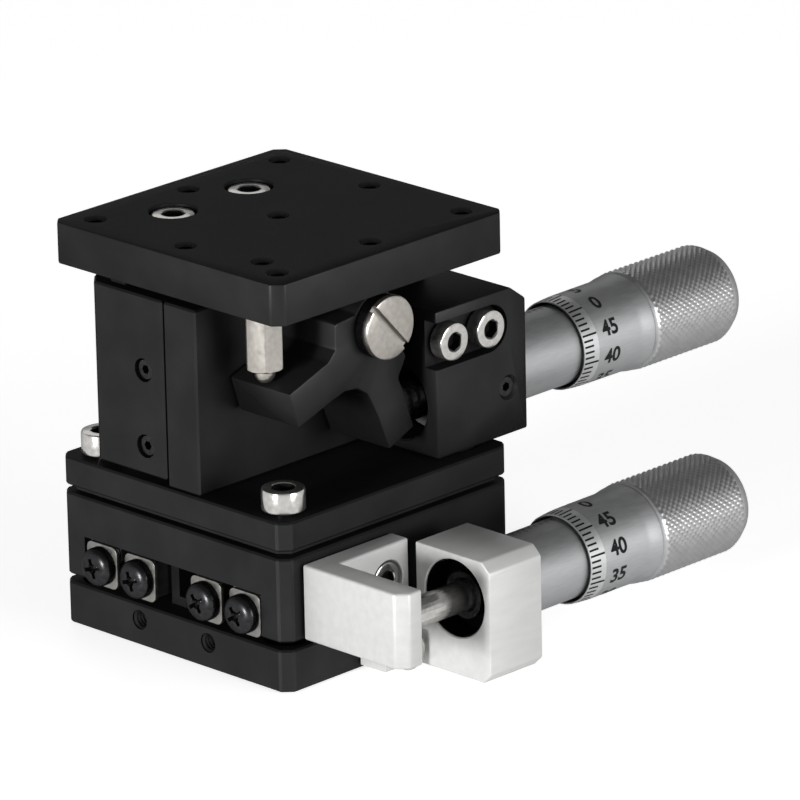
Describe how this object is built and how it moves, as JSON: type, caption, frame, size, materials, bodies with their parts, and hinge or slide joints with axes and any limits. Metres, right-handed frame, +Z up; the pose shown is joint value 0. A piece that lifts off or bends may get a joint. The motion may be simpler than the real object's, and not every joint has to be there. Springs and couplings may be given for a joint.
{
  "type": "vertical lift stage",
  "caption": "Compact two-axis bench stage: a lever-driven vertical lift on a horizontal crossed-roller slide, each axis moved by a micrometer head.",
  "frame": {"origin": "centre of the base plate's underside", "axes": "+Z up, +X along both micrometer axes towards the thimbles, +Y away from the micrometer side of the stage"},
  "size_m": [0.0877, 0.0573, 0.0527],
  "materials": {
    "x_base": "black anodised aluminium, satin",
    "x_inner_rail_left": "ground steel, dark",
    "x_inner_rail_right": "ground steel, dark",
    "inner_stop_left_front": "bright steel",
    "inner_stop_left_rear": "bright steel",
    "inner_stop_right_front": "bright steel",
    "inner_stop_right_rear": "bright steel",
    "x_return_spring": "bright steel",
    "x_spring_pin_fixed": "bright steel",
    "x_holder": "clear anodised aluminium, machined",
    "holder_screw_1": "bright steel",
    "holder_screw_2": "bright steel",
    "x_mic_sleeve": "satin chrome",
    "x_table": "black anodised aluminium, satin",
    "x_outer_rail_left": "ground steel, dark",
    "x_outer_rail_right": "ground steel, dark",
    "outer_stop_left_front": "bright steel",
    "outer_stop_left_rear": "bright steel",
    "outer_stop_right_front": "bright steel",
    "outer_stop_right_rear": "bright steel",
    "x_spring_pin_moving": "bright steel",
    "drive_bracket": "clear anodised aluminium, machined",
    "bracket_screw_1": "bright steel",
    "bracket_screw_2": "bright steel",
    "z_base": "black anodised aluminium, satin",
    "z_base_screw_1": "bright steel",
    "z_base_screw_2": "bright steel",
    "z_base_screw_3": "bright steel",
    "z_base_low_screw": "bright steel",
    "z_column": "black anodised aluminium, satin",
    "z_block": "black anodised aluminium, satin",
    "z_block_screw_1": "bright steel",
    "z_block_screw_2": "bright steel",
    "z_inner_rail_front": "ground steel, dark",
    "z_inner_rail_rear": "ground steel, dark",
    "z_return_spring": "bright steel",
    "z_spring_pin_fixed": "bright steel",
    "z_mic_sleeve": "satin chrome",
    "lever_screw": "bright steel",
    "z_clamp_screw": "ground steel, dark",
    "x_rollers_left": "brass",
    "x_rollers_right": "brass",
    "x_mic_spindle": "bright steel",
    "x_mic_thimble": "satin chrome",
    "z_mic_spindle": "bright steel",
    "z_mic_thimble": "satin chrome",
    "lever": "black anodised aluminium, satin",
    "z_carriage": "black anodised aluminium, satin",
    "z_outer_rail_front": "ground steel, dark",
    "z_outer_rail_rear": "ground steel, dark",
    "z_spring_pin_moving": "bright steel",
    "lift_post": "bright steel",
    "z_set_screw_upper": "ground steel, dark",
    "z_set_screw_lower": "ground steel, dark",
    "top_plate": "black anodised aluminium, satin",
    "top_screw_1": "bright steel",
    "top_screw_2": "bright steel",
    "z_rollers_front": "brass",
    "z_rollers_rear": "brass"
  },
  "bodies": {
    "base": {"x_base": "x_base", "x_inner_rail_left": "x_inner_rail_left", "x_inner_rail_right": "x_inner_rail_right", "inner_stop_left_front": "inner_stop_left_front", "inner_stop_left_rear": "inner_stop_left_rear", "inner_stop_right_front": "inner_stop_right_front", "inner_stop_right_rear": "inner_stop_right_rear", "x_return_spring": "x_return_spring", "x_spring_pin_fixed": "x_spring_pin_fixed", "x_holder": "x_holder", "holder_screw_1": "holder_screw_1", "holder_screw_2": "holder_screw_2", "x_mic_sleeve": "x_mic_sleeve"},
    "x_table": {"x_table": "x_table", "x_outer_rail_left": "x_outer_rail_left", "x_outer_rail_right": "x_outer_rail_right", "outer_stop_left_front": "outer_stop_left_front", "outer_stop_left_rear": "outer_stop_left_rear", "outer_stop_right_front": "outer_stop_right_front", "outer_stop_right_rear": "outer_stop_right_rear", "x_spring_pin_moving": "x_spring_pin_moving", "drive_bracket": "drive_bracket", "bracket_screw_1": "bracket_screw_1", "bracket_screw_2": "bracket_screw_2", "z_base": "z_base", "z_base_screw_1": "z_base_screw_1", "z_base_screw_2": "z_base_screw_2", "z_base_screw_3": "z_base_screw_3", "z_base_low_screw": "z_base_low_screw", "z_column": "z_column", "z_block": "z_block", "z_block_screw_1": "z_block_screw_1", "z_block_screw_2": "z_block_screw_2", "z_inner_rail_front": "z_inner_rail_front", "z_inner_rail_rear": "z_inner_rail_rear", "z_return_spring": "z_return_spring", "z_spring_pin_fixed": "z_spring_pin_fixed", "z_mic_sleeve": "z_mic_sleeve", "lever_screw": "lever_screw", "z_clamp_screw": "z_clamp_screw"},
    "x_retainers": {"x_rollers_left": "x_rollers_left", "x_rollers_right": "x_rollers_right"},
    "x_feed": {"x_mic_spindle": "x_mic_spindle"},
    "x_thimble": {"x_mic_thimble": "x_mic_thimble"},
    "z_feed": {"z_mic_spindle": "z_mic_spindle"},
    "z_thimble": {"z_mic_thimble": "z_mic_thimble"},
    "lever": {"lever": "lever"},
    "lift": {"z_carriage": "z_carriage", "z_outer_rail_front": "z_outer_rail_front", "z_outer_rail_rear": "z_outer_rail_rear", "z_spring_pin_moving": "z_spring_pin_moving", "lift_post": "lift_post", "z_set_screw_upper": "z_set_screw_upper", "z_set_screw_lower": "z_set_screw_lower", "top_plate": "top_plate", "top_screw_1": "top_screw_1", "top_screw_2": "top_screw_2"},
    "z_retainers": {"z_rollers_front": "z_rollers_front", "z_rollers_rear": "z_rollers_rear"}
  },
  "joints": [
    {"name": "x_feed_slide", "type": "slide", "parent": "base", "child": "x_feed", "axis": [-1, 0, 0], "range_m": [-0.0066, 0.0066]},
    {"name": "x_thimble_turn", "type": "hinge", "parent": "x_feed", "child": "x_thimble", "pos_m": [0.0168, -0.0308, 0.0102], "axis": [-1, 0, 0], "range_deg": [-4700, 4700]},
    {"name": "x_table_slide", "type": "slide", "parent": "base", "child": "x_table", "axis": [1, 0, 0], "range_m": [-0.0065, 0.0065], "deforming": ["x_return_spring"]},
    {"name": "x_retainer_slide", "type": "slide", "parent": "base", "child": "x_retainers", "axis": [1, 0, 0], "range_m": [-0.0033, 0.0033]},
    {"name": "z_feed_slide", "type": "slide", "parent": "x_table", "child": "z_feed", "axis": [-1, 0, 0], "range_m": [-0.0005, 0.0051]},
    {"name": "z_thimble_turn", "type": "hinge", "parent": "z_feed", "child": "z_thimble", "pos_m": [0.0369, -0.011, 0.02863], "axis": [-1, 0, 0], "range_deg": [-360, 3620]},
    {"name": "lever_turn", "type": "hinge", "parent": "x_table", "child": "lever", "pos_m": [0.0008, -0.0057, 0.04189], "axis": [0, 1, 0], "range_deg": [-2, 20.6]},
    {"name": "z_lift_slide", "type": "slide", "parent": "x_table", "child": "lift", "axis": [0, 0, 1], "range_m": [-0.00053, 0.0055], "deforming": ["z_return_spring"]},
    {"name": "z_retainer_slide", "type": "slide", "parent": "x_table", "child": "z_retainers", "axis": [0, 0, 1], "range_m": [-0.00027, 0.00276]}
  ],
  "couplings": [
    {"joint": "x_feed_slide", "follows": "x_table_slide", "ratio": -1},
    {"joint": "x_thimble_turn", "follows": "x_table_slide", "rad_per_m": -12566},
    {"joint": "x_retainer_slide", "follows": "x_table_slide", "ratio": 0.5},
    {"joint": "z_feed_slide", "follows": "z_lift_slide", "ratio": 0.90909},
    {"joint": "lever_turn", "follows": "z_lift_slide", "rad_per_m": 64.935},
    {"joint": "z_thimble_turn", "follows": "z_lift_slide", "rad_per_m": 11424},
    {"joint": "z_retainer_slide", "follows": "z_lift_slide", "ratio": 0.5}
  ]
}
